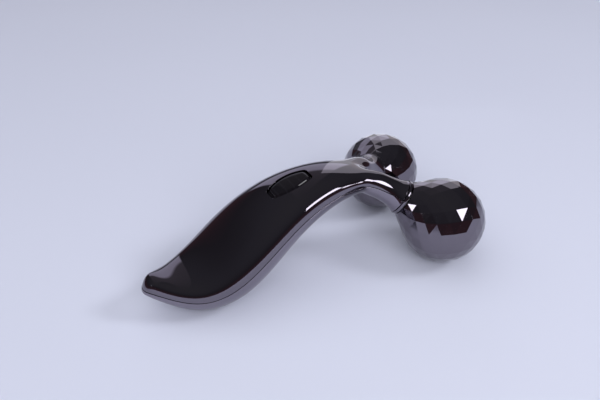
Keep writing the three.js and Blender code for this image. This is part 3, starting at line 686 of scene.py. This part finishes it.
class Paint:
    """A small builder of node materials."""

    def __init__(self, name):
        self.material = bpy.data.materials.new(name)
        self.material.use_nodes = True
        self.tree = self.material.node_tree
        self.shader = self.tree.nodes["Principled BSDF"]
        coordinates = self.node("ShaderNodeTexCoord")
        self.place = coordinates.outputs["Object"]

    def node(self, kind, **settings):
        node = self.tree.nodes.new(kind)
        for key, value in settings.items():
            setattr(node, key, value)
        return node

    def link(self, source, target):
        self.tree.links.new(source, target)

    def set(self, **sockets):
        for name, value in sockets.items():
            self.shader.inputs[name.replace("_", " ")].default_value = value

    def noise(self, scale, detail=2, roughness=0.5, stretch=None):
        noise = self.node("ShaderNodeTexNoise")
        noise.inputs["Scale"].default_value = scale
        noise.inputs["Detail"].default_value = detail
        noise.inputs["Roughness"].default_value = roughness
        source = self.place
        if stretch:
            mapping = self.node("ShaderNodeMapping")
            mapping.inputs["Scale"].default_value = stretch
            self.link(self.place, mapping.inputs["Vector"])
            source = mapping.outputs["Vector"]
        self.link(source, noise.inputs["Vector"])
        return noise.outputs["Fac"]

    def spread(self, value, low, high, start=0.3, stop=0.7):
        """Maps a texture's middle range onto low to high."""
        ranged = self.node("ShaderNodeMapRange")
        ranged.inputs["From Min"].default_value = start
        ranged.inputs["From Max"].default_value = stop
        ranged.inputs["To Min"].default_value = low
        ranged.inputs["To Max"].default_value = high
        self.link(value, ranged.inputs["Value"])
        return ranged.outputs["Result"]

    def blend(self, share, first, second):
        mix = self.node("ShaderNodeMix", data_type="RGBA")
        self.link(share, mix.inputs["Factor"])
        for socket, colour in ((mix.inputs[6], first), (mix.inputs[7], second)):
            if isinstance(colour, tuple):
                socket.default_value = (*colour, 1)
            else:
                self.link(colour, socket)
        return mix.outputs[2]

    def bump(self, height, distance, strength=1.0):
        bump = self.node("ShaderNodeBump")
        bump.inputs["Strength"].default_value = strength
        bump.inputs["Distance"].default_value = distance
        self.link(height, bump.inputs["Height"])
        self.link(bump.outputs["Normal"], self.shader.inputs["Normal"])

    def colour(self, source):
        self.link(source, self.shader.inputs["Base Color"])

    def roughness(self, source):
        self.link(source, self.shader.inputs["Roughness"])


PLATING_SHADES = ((0.178, 0.162, 0.19), (0.198, 0.18, 0.208))
PLATING_RIPPLE = 0.00006
KEEL_PAINTED_LIGHT_GAIN = 1.4  # the lower shell's plating is painted a little lighter, as a painted reflection of the bright floor


def plated(name, ripple, gain=1.0):
    """Dark gunmetal plating: mirror bright, with a faint moulding ripple and soft finger marks.

    Its gain sets how light the plating is; above 1 it paints the plating lighter, as painted light.
    """
    paint = Paint(name)
    paint.set(Metallic=1.0)
    cloud = paint.noise(18, 3)
    shades = [tuple(gain * channel for channel in shade) for shade in PLATING_SHADES]
    paint.colour(paint.blend(paint.spread(cloud, 0, 1), *shades))
    marks = paint.noise(70, 5, 0.6)
    paint.roughness(paint.spread(marks, 0.03, 0.085, 0.4, 0.75))
    if ripple:
        paint.bump(paint.noise(60, 1), ripple, 0.25)
    return paint.material


def smoked_window(name):
    paint = Paint(name)
    paint.set(Roughness=0.05, IOR=1.49)
    lines = paint.node("ShaderNodeTexWave", wave_type="BANDS", bands_direction="X")
    lines.inputs["Scale"].default_value = 85
    paint.link(paint.place, lines.inputs["Vector"])
    strips = paint.spread(lines.outputs["Fac"], 0, 1, 0.93, 0.99)
    paint.colour(paint.blend(strips, (0.006, 0.005, 0.007), (0.01, 0.009, 0.012)))
    paint.roughness(paint.spread(paint.noise(90, 4), 0.03, 0.07))
    return paint.material


def machined(name, low, high, roughness, scale, stretch, metallic):
    """Turned, drawn or cast metal, or moulded plastic, with a fine directional grain."""
    paint = Paint(name)
    paint.set(Metallic=metallic)
    grain = paint.noise(scale, 3, 0.6, stretch)
    paint.colour(paint.blend(paint.spread(grain, 0, 1), low, high))
    paint.roughness(paint.spread(grain, roughness * 0.8, roughness * 1.3))
    paint.bump(grain, 0.00002, 0.4)
    return paint.material


# ---- pieces ----

def build():
    points, normals, quads, crowns = smooth_skin()
    skin = Skin(points, normals, quads)
    plating = plated("gunmetal_plating", PLATING_RIPPLE)
    # The keel's plating is the same plating painted lighter, standing in for the floor's brighter
    # reflection in the lower shell.
    keel_plating_painted_lighter = plated("keel_plating_painted_lighter", PLATING_RIPPLE, KEEL_PAINTED_LIGHT_GAIN)
    ball_plating = plated("ball_plating", 0)

    upper = shell("upper_shell_plated", skin, [q for q, crown in zip(quads, crowns) if crown])
    cut_window(upper, skin)
    soften(upper, 40)
    match_normals(upper, skin)
    lower = shell("lower_shell_plated", skin, [q for q, crown in zip(quads, crowns) if not crown])
    soften(lower, 40)
    match_normals(lower, skin)
    glass = window_glass(skin)
    pieces = [
        (upper, "handle", "upper_shell", "plated", plating),
        (lower, "handle", "lower_shell", "plated", keel_plating_painted_lighter),
        (glass, "handle", "solar_window", "smoked", smoked_window("smoked_acrylic")),
    ]
    for word, side in (("left", 1), ("right", -1)):
        collar = neck_collar(f"{word}_collar_plated", side)
        ball = faceted_ball(f"{word}_ball_plated", side)
        pieces.append((collar, "handle", f"{word}_neck_collar", "plated", plating))
        pieces.append((ball, f"{word}_ball", f"{word}_ball_shell", "plated", ball_plating))
    for piece, body, node, slot, material in pieces:
        piece.data.materials.clear()
        piece.data.materials.append(material)
        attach(piece, body)
        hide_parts(node)


FINISHES = {  # low and high colour, roughness, grain scale, stretch and metallic
    "foam": ((0.02, 0.02, 0.02), (0.05, 0.05, 0.05), 0.85, 900, (1, 1, 1), 0),
    "silicon": ((0.02, 0.02, 0.06), (0.04, 0.05, 0.14), 0.25, 60, (1, 9, 1), 0),
    "laminate": ((0.03, 0.14, 0.07), (0.06, 0.24, 0.12), 0.5, 200, (1, 1, 1), 0),
    "bronze": ((0.45, 0.3, 0.14), (0.62, 0.45, 0.24), 0.35, 700, (1, 1, 1), 1),
    "insulation": ((0.35, 0.03, 0.03), (0.5, 0.06, 0.05), 0.5, 300, (1, 6, 6), 0),
    "zinc": ((0.38, 0.39, 0.4), (0.55, 0.56, 0.57), 0.55, 500, (1, 1, 1), 1),
    "steel": ((0.5, 0.51, 0.52), (0.68, 0.69, 0.7), 0.3, 500, (1, 8, 8), 1),
    "acetal": ((0.75, 0.74, 0.7), (0.85, 0.84, 0.8), 0.5, 250, (1, 1, 1), 0),
}


def repaint():
    """Better materials for the CAD nodes that stay."""
    finishes = {name: machined(name, *finish) for name, finish in FINISHES.items()}
    for part in frame["record"]["subparts"]:
        finish = finishes.get(part["material_slot"])
        if finish:
            node = frame["nodes"][part["node"]]
            node.data.materials.clear()
            node.data.materials.append(finish)


# ---- stage ----

CAMERA_TARGET = Vector((11.38, 28.09, 15)) * MM
CAMERA_AZIMUTH = -28.87 * DEG
CAMERA_ELEVATION = 33.79 * DEG
CAMERA_DISTANCE = 313.62 * MM
CAMERA_LENS = 36.57
FLOOR_HALF_SIZE = 2.5
WALL_AZIMUTH = 160 * DEG
WALL_SPREAD = 24 * DEG
BACKDROP = (0.55, 0.57, 0.66)
LAMPS = {  # azimuth and elevation in degrees, distance, size and radiance
    "overhead": ((-110, 75), 1.6, (2.8, 2.8), 0.8),
    "fill": ((-20, 33), 1.8, (2, 1.2), 3.2),
    "key": ((58, 38), 1.6, (0.4, 0.4), 14),
}
CARDS = {  # the same, and the place that the card is seen from
    "near_card": ((38, 28.5), 0.283, (0.13, 0.06), 6, (0, -0.016, 0.045)),
    "far_card": ((48.5, 18), 1.2, (0.09, 0.12), 6, (0.06, 0.012, 0.03)),
    "side_card": ((-85, 25), 0.5, (0.03, 0.04), 6, (0.043, -0.03, 0.025)),
    "back_card": ((146.7, 0), 0.15, (0.13, 0.2), 0.62, (0.078, -0.014, 0.1)),
}


def direction(azimuth, elevation):
    """Unit vector towards a view: azimuth 0 stands at -Y and azimuth 90 at +X."""
    flat = math.cos(elevation)
    return Vector((
        flat * math.sin(azimuth), -flat * math.cos(azimuth), math.sin(elevation),
    ))


def stage():
    camera = bpy.data.objects.new("camera", bpy.data.cameras.new("camera"))
    bpy.context.scene.collection.objects.link(camera)
    camera.data.lens = CAMERA_LENS
    camera.data.sensor_width = 36
    camera.data.clip_start = 0.01
    toward = direction(CAMERA_AZIMUTH, CAMERA_ELEVATION)
    camera.location = CAMERA_TARGET + toward * CAMERA_DISTANCE
    camera.rotation_euler = toward.to_track_quat("Z", "Y").to_euler()
    bpy.context.scene.camera = camera

    corners = [(-1, -1, 0), (1, -1, 0), (1, 1, 0), (-1, 1, 0)]
    floor = mesh_object("floor", [Vector(c) * FLOOR_HALF_SIZE / MM for c in corners], [(0, 1, 2, 3)])
    paint = Paint("floor")
    cloud = paint.noise(1.6, 2)
    paint.colour(paint.blend(paint.spread(cloud, 0, 1), (0.69, 0.715, 0.84), (0.72, 0.745, 0.87)))
    paint.set(Roughness=0.75)
    floor.data.materials.append(paint.material)

    room()
    for name, (place, distance, size, radiance) in LAMPS.items():
        softbox(name, place, distance, size, radiance, (0, 0, 0.02), False)
    for name, (place, distance, size, radiance, centre) in CARDS.items():
        softbox(name, place, distance, size, radiance, centre, True)


def softbox(name, place, distance, size, radiance, centre, mirrored):
    """A soft light at an azimuth and elevation from a centre, which it faces.

    It is either mirrored in the plating or lights what is matt, and the camera doesn't see it.
    """
    light = bpy.data.lights.new(name, "AREA")
    light.shape = "RECTANGLE"
    light.size, light.size_y = size
    light.energy = radiance * math.pi * size[0] * size[1]
    light.color = (0.95, 0.96, 1)
    toward = direction(place[0] * DEG, place[1] * DEG)
    item = bpy.data.objects.new(name, light)
    item.location = Vector(centre) + toward * distance
    item.rotation_euler = toward.to_track_quat("Z", "Y").to_euler()
    item.visible_camera = False
    item.visible_glossy = mirrored
    item.visible_diffuse = not mirrored
    bpy.context.scene.collection.objects.link(item)


def room():
    """The room around the table: pale up to the table's height, dark above, a pale wall behind."""
    world = bpy.data.worlds.new("room")
    bpy.context.scene.world = world
    world.use_nodes = True
    tree = world.node_tree
    coordinates = tree.nodes.new("ShaderNodeTexCoord")
    split = tree.nodes.new("ShaderNodeSeparateXYZ")
    tree.links.new(coordinates.outputs["Generated"], split.inputs[0])

    def ramp(stops):
        node = tree.nodes.new("ShaderNodeValToRGB")
        elements = node.color_ramp.elements
        elements[0].position, elements[0].color = stops[0][0], (*stops[0][1], 1)
        elements[1].position, elements[1].color = stops[-1][0], (*stops[-1][1], 1)
        for place, colour in stops[1:-1]:
            elements.new(place).color = (*colour, 1)
        tree.links.new(split.outputs["Z"], node.inputs["Fac"])
        return node.outputs["Color"]

    front = ramp([
        (0, (0.4, 0.37, 0.48)), (0.03, (0.1, 0.055, 0.065)), (0.2, (0.075, 0.045, 0.055)),
        (0.4, (0.05, 0.047, 0.056)), (0.7, (0.075, 0.075, 0.088)), (1, (0.09, 0.09, 0.1)),
    ])
    wall = ramp([
        (0, (0.1, 0.1, 0.12)), (0.16, (0.16, 0.16, 0.19)), (0.2, (0.72, 0.72, 0.88)),
        (0.5, (0.66, 0.65, 0.78)), (0.56, (0.14, 0.13, 0.15)), (1, (0.09, 0.09, 0.1)),
    ])
    level = tree.nodes.new("ShaderNodeVectorMath")
    level.operation = "MULTIPLY"
    level.inputs[1].default_value = (1, 1, 0)
    tree.links.new(coordinates.outputs["Generated"], level.inputs[0])
    unit = tree.nodes.new("ShaderNodeVectorMath")
    unit.operation = "NORMALIZE"
    tree.links.new(level.outputs[0], unit.inputs[0])
    facing = tree.nodes.new("ShaderNodeVectorMath")
    facing.operation = "DOT_PRODUCT"
    facing.inputs[1].default_value = direction(WALL_AZIMUTH, 0)
    tree.links.new(unit.outputs[0], facing.inputs[0])
    share = tree.nodes.new("ShaderNodeMapRange")
    share.inputs["From Min"].default_value = math.cos(WALL_SPREAD)
    share.inputs["From Max"].default_value = math.cos(WALL_SPREAD - 2 * DEG)
    tree.links.new(facing.outputs["Value"], share.inputs["Value"])
    mix = tree.nodes.new("ShaderNodeMix")
    mix.data_type = "RGBA"
    tree.links.new(share.outputs["Result"], mix.inputs["Factor"])
    tree.links.new(front, mix.inputs[6])
    tree.links.new(wall, mix.inputs[7])
    # Seen directly, past the floor's edge, the room is a plain pale backdrop.
    rays = tree.nodes.new("ShaderNodeLightPath")
    seen = tree.nodes.new("ShaderNodeMix")
    seen.data_type = "RGBA"
    seen.inputs[7].default_value = (*BACKDROP, 1)
    tree.links.new(rays.outputs["Is Camera Ray"], seen.inputs["Factor"])
    tree.links.new(mix.outputs[2], seen.inputs[6])
    tree.links.new(seen.outputs[2], tree.nodes["Background"].inputs["Color"])


build()
repaint()
stage()
bpy.context.scene.view_settings.view_transform = "Standard"
